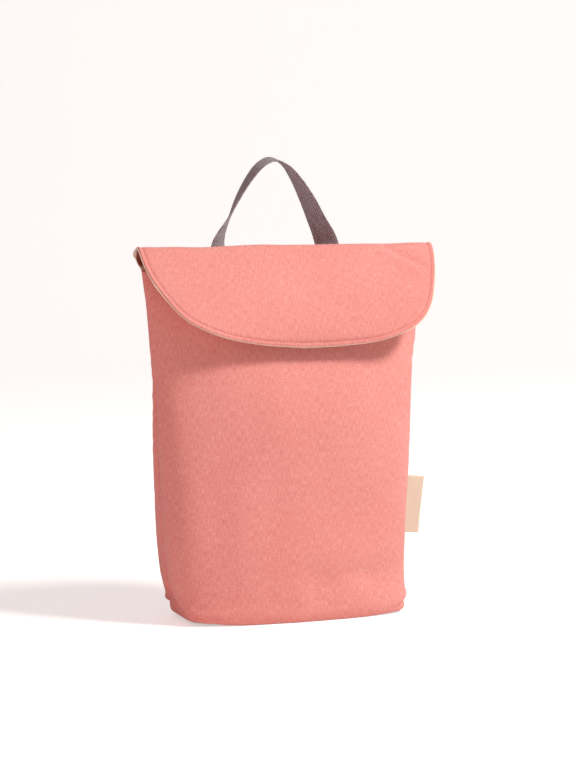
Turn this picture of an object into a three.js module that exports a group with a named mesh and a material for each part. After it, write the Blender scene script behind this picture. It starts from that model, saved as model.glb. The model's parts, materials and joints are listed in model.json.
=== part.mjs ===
// Cloth diaper wet bag: a soft pouch that stands on boxed corners, with a flap that rolls
// over from the back, a webbing handle behind the roll and a folded label in a side seam.
// Millimetres, +Z up. The front faces -Y and +X is on the right of the front. The pouch is
// worked out from the plane of its seams, and the finished bag is moved so that the origin
// is the middle of its base, on the surface that it stands on.

import * as THREE from 'three';
import { mergeVertices } from 'three/addons/utils/BufferGeometryUtils.js';

// Pouch. The belly fades out between two shares of mouthHeight. The corners rise between
// two shares of the half width, less and less up to a top share of mouthHeight, so that the
// middle of the base lies flat on the floor.
const mouthHeight = 225;
const mouthWidth = 194;
const baseWidth = 152;
const pouchDepth = 58;
const clothWall = 1.2;
const turnHeight = 9;
const sideTurn = 10;
const faceTurn = 4;
const cornerLift = 3.6;
const bellyBulge = 7;
const bellyFade = { from: 0.55, to: 0.95 };
const cornerRise = { from: 0.52, to: 1, top: 0.25 };
const hemHeight = 3.5;
const hemWall = 1.8;

// Flap and the roll that it makes
const foldHeight = 241.5;
const foldWidth = 200;
const foldShift = 1.5;
const foldBack = 4;
const rollBehind = 9.5;
const flapDrop = 64;
const flapStandoff = 10;
const flapWall = 1.1;
const liningWall = 1.0;
const liningGap = 0.5;
const liningRim = 1.0;
const flapSeamHeight = 215;

// Handle
const handleRise = 54;
const handleSpacing = 74;
const handleWidth = 15;
const handleWall = 1.4;
const handleBehindFold = 17;
const handleShift = -2;
const handleSewnLength = 14;
const handleSewnTurn = 86;
const handleSewnSpread = 1.08;

// Side label
const labelReach = 16;
const labelLength = 37;
const labelBottom = 50;
const labelDroop = 1.6;
const labelTaper = 0.6;
const labelWall = 1.0;
const labelGap = 0.8;

// Space between neighbouring layers
const layerGap = 0.3;

// Sections of the pouch, from the floor to the mouth. rise is a share of mouthHeight, left
// and right are shares of the way from baseWidth to mouthWidth, front and back are shares
// of half of pouchDepth. side and face shape the section: 1 is an ellipse, less is boxier
// and more is sharper. lap is 1 where the two panels lie on each other at the seam.
const pouchSections = [
  { rise: 0.000, left: 0.00, right: 0.08, front: 1.00, back: 1.00, side: 0.32, face: 0.22, lap: 0.0 },
  { rise: 0.060, left: 0.10, right: 0.05, front: 1.03, back: 1.00, side: 0.45, face: 0.34, lap: 0.0 },
  { rise: 0.133, left: 0.30, right: 0.04, front: 1.03, back: 1.00, side: 0.50, face: 0.40, lap: 0.0 },
  { rise: 0.267, left: 0.46, right: 0.10, front: 1.02, back: 0.98, side: 0.52, face: 0.45, lap: 0.0 },
  { rise: 0.400, left: 0.53, right: 0.24, front: 1.00, back: 0.96, side: 0.60, face: 0.55, lap: 0.0 },
  { rise: 0.556, left: 0.60, right: 0.37, front: 0.96, back: 0.90, side: 0.72, face: 0.68, lap: 0.1 },
  { rise: 0.667, left: 0.65, right: 0.48, front: 0.88, back: 0.82, side: 0.82, face: 0.80, lap: 0.2 },
  { rise: 0.800, left: 0.77, right: 0.62, front: 0.72, back: 0.72, side: 0.95, face: 0.95, lap: 0.5 },
  { rise: 0.911, left: 0.87, right: 0.80, front: 0.45, back: 0.60, side: 1.00, face: 1.10, lap: 0.9 },
  { rise: 0.956, left: 0.94, right: 0.90, front: 0.28, back: 0.50, side: 1.00, face: 1.20, lap: 1.0 },
  { rise: 1.000, left: 1.00, right: 1.00, front: 0.20, back: 0.42, side: 1.00, face: 1.20, lap: 1.0 },
];

// Dents and swellings of the front. across is a share of half of the width there, rise and
// tall are shares of mouthHeight, wide is a share of baseWidth, push is a share of
// pouchDepth and is positive where the cloth goes in.
const frontDents = [
  { across: 0.15, rise: 0.110, wide: 0.05, tall: 0.050, push: 0.030 },
  { across: 0.68, rise: 0.125, wide: 0.13, tall: 0.040, push: 0.035 },
  { across: -0.62, rise: 0.300, wide: 0.05, tall: 0.120, push: 0.020 },
  { across: 0.50, rise: 0.290, wide: 0.14, tall: 0.090, push: 0.022 },
  { across: -0.20, rise: 0.200, wide: 0.22, tall: 0.100, push: -0.025 },
];

// The roll's back, from the seam at flapSeamHeight up to the fold. drop is a share of the
// seam's distance below the fold, centre and end are shares of rollBehind for the middle
// and for the open ends of the roll, and pinch is how sharply the ends come to the seam.
const rollRows = [
  { drop: 0.60, centre: 1.00, end: -0.15, pinch: 0.60 },
  { drop: 0.50, centre: 1.00, end: 0.30, pinch: 0.45 },
  { drop: 0.34, centre: 0.93, end: 0.86, pinch: 0.35 },
  { drop: 0.20, centre: 0.78, end: 0.88, pinch: 0.35 },
  { drop: 0.08, centre: 0.50, end: 0.58, pinch: 0.35 },
  { drop: 0.00, centre: 0.00, end: 0.00, pinch: 0.35 },
];

// The flap's front. drop is a share of flapDrop, and forward a share of its reach.
const flapRows = [
  { drop: 0.00, forward: 0.00 },
  { drop: 0.04, forward: 0.12 },
  { drop: 0.22, forward: 0.34 },
  { drop: 0.39, forward: 0.55 },
  { drop: 0.52, forward: 0.73 },
  { drop: 0.65, forward: 0.85 },
  { drop: 0.76, forward: 0.94 },
  { drop: 0.89, forward: 1.00 },
  { drop: 1.00, forward: 0.98 },
];

// The flap's free edge, which hangs lower on the right. across is a share of its half
// width, left and right are the drops of the two sides as shares of flapDrop.
const flapEdge = [
  { across: 0.00, left: 1.00, right: 1.00 },
  { across: 0.30, left: 0.96, right: 0.99 },
  { across: 0.56, left: 0.88, right: 0.95 },
  { across: 0.77, left: 0.75, right: 0.84 },
  { across: 0.87, left: 0.64, right: 0.74 },
  { across: 0.94, left: 0.51, right: 0.61 },
  { across: 1.00, left: 0.36, right: 0.42 },
];
const flapEdgeTaper = 0.94;

// The handle's arch. rise is a share of handleRise above the fold, spread a share of half
// of handleSpacing, behind a share of handleBehindFold, and turn is the band's twist in
// degrees: 0 has its width along Y, 90 has it flat on the back.
const handleRows = [
  { rise: 0.00, spread: 1.00, behind: 1.00, turn: 52 },
  { rise: 0.28, spread: 0.82, behind: 1.05, turn: 24 },
  { rise: 0.52, spread: 0.65, behind: 1.05, turn: 8 },
  { rise: 0.75, spread: 0.45, behind: 1.03, turn: 2 },
  { rise: 0.93, spread: 0.22, behind: 1.00, turn: 0 },
];

// How finely the surfaces are divided
const panelColumns = 26;
const wallRows = 15;
const turnRows = 4;
const baseRows = 3;
const flapColumns = 24;
const rollSteps = 10;
const flapSteps = 11;
const handleSteps = 52;
const labelSteps = 6;

const smoothStep = (from, to, value) => THREE.MathUtils.smoothstep(value, from, to);

// Reads a column of a table at a place of its key column, with a smooth curve between rows
function readTable(table, key, at, column) {
  let row = 0;
  while (row < table.length - 2 && at > table[row + 1][key]) {
    row += 1;
  }
  const before = table[Math.max(row - 1, 0)];
  const start = table[row];
  const end = table[row + 1];
  const after = table[Math.min(row + 2, table.length - 1)];
  const span = end[key] - start[key];
  const share = THREE.MathUtils.clamp((at - start[key]) / span, 0, 1);
  const slope = (a, b) => (b[column] - a[column]) / Math.max(b[key] - a[key], 1e-6) * span;
  const startSlope = slope(before, end);
  const endSlope = slope(start, after);
  const square = share * share;
  const cube = square * share;
  return (2 * cube - 3 * square + 1) * start[column] + (cube - 2 * square + share) * startSlope
    + (3 * square - 2 * cube) * end[column] + (cube - square) * endSlope;
}

// A closed wall of cloth between two grids of points with the same rows and columns
function wallGeometry(outerGrid, innerGrid) {
  const rows = outerGrid.length;
  const columns = outerGrid[0].length;
  const points = [...outerGrid.flat(), ...innerGrid.flat()];
  const outer = (row, column) => row * columns + column;
  const inner = (row, column) => rows * columns + outer(row, column);
  const faces = [];
  const addQuad = (a, b, c, d) => faces.push([a, b, c], [a, c, d]);
  for (let row = 0; row < rows - 1; row++) {
    for (let column = 0; column < columns - 1; column++) {
      const next = column + 1;
      const below = row + 1;
      addQuad(outer(row, column), outer(below, column), outer(below, next), outer(row, next));
      addQuad(inner(row, column), inner(row, next), inner(below, next), inner(below, column));
    }
    const last = columns - 1;
    addQuad(outer(row, 0), inner(row, 0), inner(row + 1, 0), outer(row + 1, 0));
    addQuad(outer(row, last), outer(row + 1, last), inner(row + 1, last), inner(row, last));
  }
  for (let column = 0; column < columns - 1; column++) {
    const last = rows - 1;
    addQuad(outer(0, column), outer(0, column + 1), inner(0, column + 1), inner(0, column));
    addQuad(outer(last, column), inner(last, column), inner(last, column + 1), outer(last, column + 1));
  }
  return closedGeometry(points, faces);
}

// Joins equal points, drops faces without area and turns the faces outwards
function closedGeometry(points, faces) {
  const loose = new THREE.BufferGeometry();
  loose.setAttribute('position', new THREE.Float32BufferAttribute(points.flatMap((p) => p.toArray()), 3));
  loose.setIndex(faces.flat());
  const joined = mergeVertices(loose, 2e-3);
  const index = joined.getIndex().array;
  const position = joined.getAttribute('position');
  const kept = [];
  const corner = [new THREE.Vector3(), new THREE.Vector3(), new THREE.Vector3()];
  let volume = 0;
  for (let start = 0; start < index.length; start += 3) {
    const [a, b, c] = [index[start], index[start + 1], index[start + 2]];
    if (a === b || b === c || c === a) continue;
    [a, b, c].forEach((vertex, place) => corner[place].fromBufferAttribute(position, vertex));
    volume += corner[0].dot(corner[1].clone().cross(corner[2]));
    kept.push([a, b, c]);
  }
  joined.setIndex(kept.flatMap(([a, b, c]) => (volume > 0 ? [a, b, c] : [a, c, b])));
  joined.computeVertexNormals();
  return joined;
}

// The pouch's half width at a height, on the left (-1) or the right (1)
function pouchHalfWidth(height, hand) {
  const spread = readTable(pouchSections, 'rise', height / mouthHeight, hand < 0 ? 'left' : 'right');
  return (baseWidth + (mouthWidth - baseWidth) * spread) / 2;
}

// How far the front (-1) or the back (1) stands from the middle at a height
function pouchReach(height, face) {
  const share = readTable(pouchSections, 'rise', height / mouthHeight, face < 0 ? 'front' : 'back');
  return share * pouchDepth / 2;
}

// How far the soft front swells forward, less its dents
function frontSwell(across, height) {
  const rise = height / mouthHeight;
  const belly = bellyBulge * (1 - across * across) * (1 - smoothStep(bellyFade.from, bellyFade.to, rise));
  let dents = 0;
  for (const dent of frontDents) {
    const x = (across - dent.across) * baseWidth / 2 / (dent.wide * baseWidth);
    const z = (rise - dent.rise) / dent.tall;
    dents += dent.push * pouchDepth * Math.exp(-x * x - z * z);
  }
  return belly - dents;
}

// A point of a panel. turn runs from the left seam (0) to the right seam (1). A row gives
// its height, how far it lies inside the outline at the sides and at the faces, and how
// far it is drawn to the seam along the base.
function pouchPoint(face, turn, row, wall) {
  const { height, sideTuck, faceTuck, close } = row;
  const section = (column) => readTable(pouchSections, 'rise', height / mouthHeight, column);
  const angle = Math.PI * turn;
  const cosine = -Math.cos(angle);
  const hand = Math.sign(cosine) || 1;
  const lap = section('lap') * clothWall;
  const insetX = sideTuck - wall * section('lap');
  const across = hand * Math.abs(cosine) ** section('side');
  const stand = Math.abs(Math.sin(angle)) ** section('face');
  const x = across * (pouchHalfWidth(height, hand) - insetX);
  const start = layerGap / 2 + lap * (1 - wall / clothWall);
  const reach = pouchReach(height, face) - faceTuck;
  let y = start + (reach - start) * stand * (1 - close);
  if (face < 0) {
    y += frontSwell(across, height) * stand * (1 - close);
  }
  const low = 1 - smoothStep(0, cornerRise.top, height / mouthHeight);
  const lift = cornerLift * smoothStep(cornerRise.from, cornerRise.to, Math.abs(across)) * low;
  return new THREE.Vector3(x, face * y, height + lift);
}

// The rows of a panel from a top height down the wall, round the turn and under the base
function panelRows(topHeight, wall) {
  const rows = [];
  for (let step = 0; step <= wallRows; step++) {
    const height = topHeight + (turnHeight - topHeight) * step / wallRows;
    rows.push({ height, sideTuck: wall, faceTuck: wall, close: 0 });
  }
  for (let step = 1; step <= turnRows; step++) {
    const angle = Math.PI / 2 * step / turnRows;
    rows.push({
      height: turnHeight - (turnHeight - wall) * Math.sin(angle),
      sideTuck: sideTurn - (sideTurn - wall) * Math.cos(angle),
      faceTuck: faceTurn - (faceTurn - wall) * Math.cos(angle),
      close: 0,
    });
  }
  for (let step = 1; step <= baseRows; step++) {
    rows.push({ height: wall, sideTuck: sideTurn, faceTuck: faceTurn, close: step / baseRows });
  }
  return rows;
}

function panelGrid(face, topHeight, wall) {
  return panelRows(topHeight, wall).map((row) => {
    const points = [];
    for (let column = 0; column <= panelColumns; column++) {
      points.push(pouchPoint(face, column / panelColumns, row, wall));
    }
    return points;
  });
}

function panelGeometry(face, topHeight) {
  return wallGeometry(panelGrid(face, topHeight, 0), panelGrid(face, topHeight, clothWall));
}

// The hem along the front's top edge
function hemGeometry() {
  const grid = (tuck) => [mouthHeight, mouthHeight - hemHeight].map((height) => {
    const points = [];
    const row = { height, sideTuck: tuck, faceTuck: tuck, close: 0 };
    for (let column = 0; column <= panelColumns; column++) {
      points.push(pouchPoint(-1, column / panelColumns, row, Math.max(tuck, 0)));
    }
    return points;
  });
  return wallGeometry(grid(clothWall - hemWall), grid(clothWall));
}

// The flap's half width where its sides are still straight
function rollHalfWidth(drop, hand) {
  const height = foldHeight - drop;
  if (height <= mouthHeight) {
    return pouchHalfWidth(height, hand);
  }
  const share = (height - mouthHeight) / (foldHeight - mouthHeight);
  return THREE.MathUtils.lerp(mouthWidth / 2, foldWidth / 2 + hand * foldShift, share);
}

const flapEdgeHeight = foldHeight - flapDrop;
const pouchFront = pouchReach(flapEdgeHeight, -1) + frontSwell(0, flapEdgeHeight);
const flapReach = foldBack + pouchFront + flapStandoff;

// The rim moves only the last stretch before an edge outwards
const rimReach = 9;
const sideRim = (across, rim) => rim * across ** rimReach;

// A point of the flap's outer face. along runs from -1 at the back seam, through 0 at the
// fold, to 1 at the free edge, and rim is how far the edge is moved outwards.
function flapPoint(across, along, rim) {
  const hand = Math.sign(across) || 1;
  if (along <= 0) {
    const depth = foldHeight - flapSeamHeight - layerGap;
    const drop = depth * -along;
    const x = across * rollHalfWidth(drop, hand) + sideRim(across, rim);
    const seamDrop = drop / depth;
    const lowest = rollRows[0].drop;
    if (seamDrop >= lowest) {
      return backPoint(across, foldHeight - drop, rim);
    }
    const read = (column) => readTable([...rollRows].reverse(), 'drop', seamDrop, column);
    const round = (1 - across * across) ** read('pinch');
    const behind = (read('end') + (read('centre') - read('end')) * round) * rollBehind;
    return new THREE.Vector3(x, foldBack + behind, foldHeight - drop);
  }
  const side = hand < 0 ? 'left' : 'right';
  const edgeDrop = readTable(flapEdge, 'across', Math.abs(across), side) * flapDrop;
  const drop = along * edgeDrop + rim * along ** rimReach;
  const straight = foldWidth / 2 + hand * foldShift;
  const halfWidth = straight * THREE.MathUtils.lerp(1, flapEdgeTaper, along * along);
  const forward = readTable(flapRows, 'drop', Math.min(drop / flapDrop, 1), 'forward') * flapReach;
  const x = across * halfWidth + sideRim(across, rim);
  return new THREE.Vector3(x, foldBack - forward, foldHeight - drop);
}

// A point of the back, above the seam, where the flap still follows the pouch's section
function backPoint(across, height, rim) {
  const hand = Math.sign(across) || 1;
  const face = readTable(pouchSections, 'rise', height / mouthHeight, 'face');
  const start = layerGap / 2 + clothWall;
  const stand = (1 - across * across) ** (face / 2);
  const y = start + (pouchReach(height, 1) - start) * stand;
  return new THREE.Vector3(across * pouchHalfWidth(height, hand) + sideRim(across, rim), y, height);
}

// A grid of the flap at a depth below its outer face, from a step of the roll's back on
function flapGrid(firstStep, depth, rim) {
  const places = [];
  for (let step = firstStep; step < rollSteps; step++) {
    places.push(step / rollSteps - 1);
  }
  for (let step = 0; step <= flapSteps; step++) {
    places.push(step / flapSteps);
  }
  const nudge = 1e-3;
  return places.map((along) => {
    const row = [];
    for (let column = 0; column <= flapColumns; column++) {
      const across = Math.sin(Math.PI / 2 * (2 * column / flapColumns - 1));
      const sideways = flapPoint(Math.min(across + nudge, 1), along, rim)
        .sub(flapPoint(Math.max(across - nudge, -1), along, rim));
      const onwards = flapPoint(across, Math.min(along + nudge, 1), rim)
        .sub(flapPoint(across, Math.max(along - nudge, -1), rim));
      const inwards = sideways.cross(onwards).normalize();
      row.push(flapPoint(across, along, rim).addScaledVector(inwards, depth));
    }
    return row;
  });
}

function flapGeometry(firstStep, depth, wall, rim) {
  return wallGeometry(flapGrid(firstStep, depth, rim), flapGrid(firstStep, depth + wall, rim));
}

// The band of webbing: its middle line, then a flat section carried along it
function handleGeometry() {
  const foldY = foldBack + handleBehindFold;
  const half = handleSpacing / 2;
  const sewnX = half * handleSewnSpread;
  const sewn = (height) => {
    const across = sewnX / pouchHalfWidth(height, 1);
    const y = backPoint(across, height, 0).y + 2 * layerGap + handleWall / 2;
    return { x: sewnX, y, z: height, turn: handleSewnTurn };
  };
  const leg = [
    sewn(flapSeamHeight - handleSewnLength),
    sewn(flapSeamHeight - handleSewnLength / 2),
    sewn(flapSeamHeight),
    ...handleRows.map((row) => ({
      x: row.spread * half,
      y: foldBack + row.behind * handleBehindFold,
      z: foldHeight + row.rise * handleRise,
      turn: row.turn,
    })),
  ];
  const apex = { x: 0, y: foldY, z: foldHeight + handleRise, turn: 0 };
  const mirrored = [...leg].reverse().map((point) => ({ ...point, x: -point.x, turn: -point.turn }));
  const stations = [...leg, apex, ...mirrored];
  const path = stations.map((station) => new THREE.Vector3(station.x + handleShift, station.y, station.z));
  const middle = new THREE.CatmullRomCurve3(path);
  const outer = [];
  const inner = [];
  for (let step = 0; step <= handleSteps; step++) {
    const share = step / handleSteps;
    const station = share * (stations.length - 1);
    const first = Math.min(Math.floor(station), stations.length - 2);
    const turn = THREE.MathUtils.lerp(stations[first].turn, stations[first + 1].turn, station - first);
    const point = middle.getPoint(share);
    const along = middle.getTangent(share);
    const twist = THREE.MathUtils.degToRad(turn);
    const width = new THREE.Vector3(-Math.sin(twist), Math.cos(twist), 0);
    width.addScaledVector(along, -width.dot(along)).normalize();
    const face = along.clone().cross(width).normalize();
    const corner = (side, layer) => point.clone()
      .addScaledVector(width, side * handleWidth / 2)
      .addScaledVector(face, layer * handleWall / 2);
    outer.push([corner(-1, 1), corner(1, 1)]);
    inner.push([corner(-1, -1), corner(1, -1)]);
  }
  return wallGeometry(outer, inner);
}

// The label: a tape folded in two, whose cut ends meet the side seam
function labelGeometry() {
  const thickness = 2 * labelWall + labelGap;
  const rootAt = (height) => pouchHalfWidth(height, 1) + layerGap;
  const outline = new THREE.Shape();
  const bend = thickness / 2;
  outline.moveTo(0, -bend);
  outline.lineTo(labelReach - bend, -bend);
  outline.absarc(labelReach - bend, 0, bend, -Math.PI / 2, Math.PI / 2, false);
  outline.lineTo(0, bend);
  outline.lineTo(0, labelGap / 2);
  outline.lineTo(labelReach - bend, labelGap / 2);
  outline.absarc(labelReach - bend, 0, labelGap / 2, Math.PI / 2, -Math.PI / 2, true);
  outline.lineTo(0, -labelGap / 2);
  const geometry = new THREE.ExtrudeGeometry(outline, {
    depth: labelLength, steps: labelSteps, curveSegments: 6, bevelEnabled: false,
  });
  const position = geometry.getAttribute('position');
  for (let vertex = 0; vertex < position.count; vertex++) {
    const share = position.getX(vertex) / labelReach;
    const height = position.getZ(vertex);
    const taper = labelTaper * (1 - height / labelLength);
    position.setX(vertex, rootAt(labelBottom + height) + share * (labelReach - taper));
    position.setZ(vertex, height - share * labelDroop);
  }
  geometry.translate(0, 0, labelBottom);
  geometry.deleteAttribute('uv');
  geometry.deleteAttribute('normal');
  const solid = mergeVertices(geometry, 1e-3);
  solid.computeVertexNormals();
  return solid;
}

function material(color, roughness) {
  return new THREE.MeshStandardMaterial({ color, roughness, metalness: 0 });
}

function addPiece(name, geometry, finish) {
  const mesh = new THREE.Mesh(geometry, finish);
  mesh.name = name;
  bag.add(mesh);
}

const bag = new THREE.Group();
bag.position.y = (pouchReach(0, -1) + bellyBulge - pouchReach(0, 1)) / 2;
const mouthShare = (mouthHeight + layerGap - flapSeamHeight) / (foldHeight - flapSeamHeight);
const liningStart = Math.ceil(mouthShare * rollSteps);

const frontTop = mouthHeight - hemHeight - layerGap;
const liningDepth = flapWall + liningGap;

addPiece('front_panel', panelGeometry(-1, frontTop), material('#f6938c', 0.85));
addPiece('back_panel', panelGeometry(1, flapSeamHeight), material('#f6938c', 0.85));
addPiece('mouth_hem', hemGeometry(), material('#f6938c', 0.85));
addPiece('flap_outer', flapGeometry(0, 0, flapWall, 0), material('#f9a9a3', 0.85));
const liningGeometry = flapGeometry(liningStart, liningDepth, liningWall, liningRim);
addPiece('flap_lining', liningGeometry, material('#fbdcc8', 0.7));
addPiece('handle', handleGeometry(), material('#8d858b', 0.8));
addPiece('side_label', labelGeometry(), material('#efd9c0', 0.8));

export default bag;
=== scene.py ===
# %% [markdown]
# # A cloth wet bag in Blender
#
# The bag is a small upright pouch sewn from a pink melange cloth. A flap rolls over from
# its back and hangs on its front, a band of grey webbing stands behind the roll, and a
# cream tape is caught in the right side seam. This lesson builds each of those pieces
# around the measured model, which is loaded first and gives every piece its place.

import json
import math

import bmesh
import bpy
import numpy as np
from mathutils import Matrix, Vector, noise
from mathutils.bvhtree import BVHTree

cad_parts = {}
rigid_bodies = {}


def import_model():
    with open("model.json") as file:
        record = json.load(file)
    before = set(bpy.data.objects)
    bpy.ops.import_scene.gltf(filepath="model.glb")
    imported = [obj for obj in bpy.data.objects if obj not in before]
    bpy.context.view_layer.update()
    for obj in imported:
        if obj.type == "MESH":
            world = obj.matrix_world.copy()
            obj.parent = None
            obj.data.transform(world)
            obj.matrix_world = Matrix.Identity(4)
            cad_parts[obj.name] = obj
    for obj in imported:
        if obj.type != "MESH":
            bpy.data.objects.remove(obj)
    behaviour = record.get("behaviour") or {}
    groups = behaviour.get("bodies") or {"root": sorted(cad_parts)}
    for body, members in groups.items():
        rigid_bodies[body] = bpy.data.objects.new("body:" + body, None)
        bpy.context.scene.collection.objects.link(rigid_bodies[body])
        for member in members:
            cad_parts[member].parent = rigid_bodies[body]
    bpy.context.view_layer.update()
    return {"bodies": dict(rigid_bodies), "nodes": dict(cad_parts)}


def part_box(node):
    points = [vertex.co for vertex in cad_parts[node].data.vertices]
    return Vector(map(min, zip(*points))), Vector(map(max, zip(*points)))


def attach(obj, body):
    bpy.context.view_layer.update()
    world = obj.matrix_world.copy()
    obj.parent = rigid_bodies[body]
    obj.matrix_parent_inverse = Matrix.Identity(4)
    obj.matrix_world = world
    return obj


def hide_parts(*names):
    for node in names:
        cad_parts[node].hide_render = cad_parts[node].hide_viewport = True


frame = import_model()
BODY = next(iter(frame["bodies"]))
print("loaded", sorted(frame["nodes"]), "on", BODY)

# %% [markdown]
# ## Sizes
#
# All lengths are worked out in millimetres and turned to metres when a mesh is made.
# The main sizes are read from the boxes of the measured pieces, so that the soft shapes
# stay where those pieces are. The cloth's own sizes are named here.

# %% Sizes of the bag, in millimetres
MM = 0.001


def reach(node, corner, axis):
    """One side of a node's box in millimetres: corner 0 is the lowest, 1 the highest."""
    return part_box(node)[corner][axis] / MM


MOUTH_HEIGHT = reach("mouth_hem", 1, 2)
HEM_HEIGHT = MOUTH_HEIGHT - reach("mouth_hem", 0, 2)
FOLD_HEIGHT = reach("flap_outer", 1, 2)
FLAP_DROP = FOLD_HEIGHT - reach("flap_outer", 0, 2)
SEAM_HEIGHT = reach("back_panel", 1, 2)
SEAM_GAP = 0.3
SEAM_PLANE = reach("back_panel", 0, 1) - SEAM_GAP / 2
MOUTH_WIDTH = 194
BASE_WIDTH = 152
POUCH_DEPTH = 58
# The front's swelling fades out between these shares of the mouth's height
BELLY_BULGE = 7
BELLY_FADE = (0.55, 0.95)
# The base's corners rise between these shares of the half width, up to a share of the height
CORNER_RISE = (0.52, 1.0)
CORNER_TOP = 0.25
LEFT_CORNER_LIFT = 2.0
RIGHT_CORNER_LIFT = 1.0
RIGHT_TURN_SHARE = 0.5
LEFT_TURN_SHARE = 0.6
CLOTH_WALL = 1.2
HEM_WALL = 1.8
TURN_HEIGHT = 9
SIDE_TURN = 10
FACE_TURN = 4
print(f"mouth at {MOUTH_HEIGHT:.1f}, fold at {FOLD_HEIGHT:.1f}, seam plane at y {SEAM_PLANE:.2f}")

# %% [markdown]
# ## Reading a table of sections
#
# A soft form is easiest to describe as a short table, with one row for each place where
# its section was judged. A smooth curve between the rows gives all the sections between.
# NumPy reads a whole array of places at once, which keeps a fine mesh quick to make. A few
# more small functions round a step or a hill and measure along a line of points.

# %% Smooth curves between the rows of a table


def hermite(start, end, start_slope, end_slope, t):
    """A cubic from start to end with the slopes given."""
    square, cube = t * t, t * t * t
    return (
        (2 * cube - 3 * square + 1) * start
        + (cube - 2 * square + t) * start_slope
        + (3 * square - 2 * cube) * end
        + (cube - square) * end_slope
    )


def read(columns, rows, at, column):
    """Reads a column of a table at places of its first column."""
    keys = np.array([row[0] for row in rows], float)
    values = np.array([row[columns.index(column)] for row in rows], float)
    at = np.clip(at, keys[0], keys[-1])
    first = np.clip(np.searchsorted(keys, at) - 1, 0, len(keys) - 2)
    places = np.arange(len(keys))
    before, after = np.maximum(places - 1, 0), np.minimum(places + 1, len(keys) - 1)
    slopes = (values[after] - values[before]) / (keys[after] - keys[before])
    span = keys[first + 1] - keys[first]
    return hermite(
        values[first], values[first + 1], slopes[first] * span, slopes[first + 1] * span,
        (at - keys[first]) / span,
    )


def smooth_step(low, high, value):
    """0 below low, 1 above high, and a smooth rise between them."""
    t = np.clip((value - low) / (high - low), 0, 1)
    return t * t * (3 - 2 * t)


def hill(offset, width):
    """1 where the offset is 0, about a third at the width, and soon nothing."""
    return np.exp(-((offset / width) ** 2))


def smooth_line(values, rounds):
    """Smooths a row of values or points and keeps its two ends."""
    for _ in range(rounds):
        values[1:-1] = (values[:-2] + 2 * values[1:-1] + values[2:]) / 4
    return values


def lengths_along(line):
    """The length from the start of a line of points to each of its points."""
    return np.concatenate([[0], np.cumsum(np.linalg.norm(np.diff(line, axis=0), axis=1))])


def points_at(stops, lengths, line):
    """The points of a line that lie at the lengths asked for."""
    return np.stack([np.interp(stops, lengths, line[:, axis]) for axis in range(3)], 1)


def even_line(line, step):
    """Points at equal steps along a line of points."""
    lengths = lengths_along(line)
    count = max(2, int(round(lengths[-1] / step)) + 1)
    return points_at(np.linspace(0, lengths[-1], count), lengths, line)


# %% [markdown]
# ## The form of the pouch
#
# Filled and stood up, the pouch is boxy at its base and a flat lens at its mouth. rise is
# the height as a share of the mouth's. left and right say how far the half width has
# gone from the base's to the mouth's, front and back are shares of half the depth, and
# side and face shape the section: 1 is an ellipse, less is boxier, more is sharper. lap
# is 1 where the two panels lie flat on each other at the seam.

# %% Sections of the pouch
PANEL_COLUMNS = 150
PANEL_WALL_ROWS = 120
TURN_ROWS = 14
BASE_ROWS = 14
OUTLINE_POINTS = 500
SEAM_CROWDING = 0.82
EVEN_SHARE = 0.18
SECTION = ("rise", "left", "right", "front", "back", "side", "face", "lap")
SECTIONS = [
    (0.000, 0.00, 0.08, 1.00, 1.00, 0.32, 0.22, 0.0),
    (0.060, 0.10, 0.05, 1.03, 1.00, 0.45, 0.34, 0.0),
    (0.133, 0.30, 0.04, 1.03, 1.00, 0.50, 0.40, 0.0),
    (0.267, 0.46, 0.10, 1.02, 0.98, 0.52, 0.45, 0.0),
    (0.400, 0.53, 0.24, 1.00, 0.96, 0.60, 0.55, 0.0),
    (0.556, 0.60, 0.37, 0.96, 0.90, 0.72, 0.68, 0.1),
    (0.667, 0.65, 0.48, 0.88, 0.82, 0.82, 0.80, 0.2),
    (0.800, 0.77, 0.62, 0.72, 0.72, 0.95, 0.95, 0.5),
    (0.911, 0.87, 0.80, 0.45, 0.60, 1.00, 1.10, 0.9),
    (0.956, 0.94, 0.90, 0.28, 0.50, 1.00, 1.20, 1.0),
    (1.000, 1.00, 1.00, 0.20, 0.42, 1.00, 1.20, 1.0),
]
# Dents (push above 0) and swellings of the front: across is a share of the half width,
# rise and tall of the mouth's height, wide of the base's width, push of the depth.
DENTS = [
    {"across": 0.15, "rise": 0.110, "wide": 0.05, "tall": 0.050, "push": 0.030},
    {"across": 0.68, "rise": 0.125, "wide": 0.13, "tall": 0.040, "push": 0.035},
    {"across": -0.62, "rise": 0.300, "wide": 0.05, "tall": 0.120, "push": 0.020},
    {"across": 0.50, "rise": 0.290, "wide": 0.14, "tall": 0.090, "push": 0.022},
    {"across": -0.20, "rise": 0.200, "wide": 0.22, "tall": 0.100, "push": -0.025},
]


def section(height, column):
    return read(SECTION, SECTIONS, height / MOUTH_HEIGHT, column)


def pouch_half_width(height, hand):
    """Half the pouch's width at a height, on the left (-1) or the right (1)."""
    spread = np.where(hand < 0, section(height, "left"), section(height, "right"))
    return (BASE_WIDTH + (MOUTH_WIDTH - BASE_WIDTH) * spread) / 2


def front_swell(across, height):
    """How far the soft front swells forward, less its dents."""
    rise = height / MOUTH_HEIGHT
    swell = BELLY_BULGE * (1 - across**2) * (1 - smooth_step(*BELLY_FADE, rise))
    for dent in DENTS:
        x = (across - dent["across"]) / 2 / dent["wide"]
        z = (rise - dent["rise"]) / dent["tall"]
        swell = swell - dent["push"] * POUCH_DEPTH * np.exp(-x * x - z * z)
    return swell


def outline_shares(side, face):
    """Places round half a section, close together both on its faces and at its ends."""
    even = np.linspace(0, 1, OUTLINE_POINTS)
    across = np.sort(np.concatenate([even, (1 - even ** (2 / face)) ** (side / 2)]))
    stand = (1 - across ** (2 / side)).clip(0) ** (face / 2)
    return np.concatenate([-across[::-1], across]), np.concatenate([stand[::-1], stand])


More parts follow.
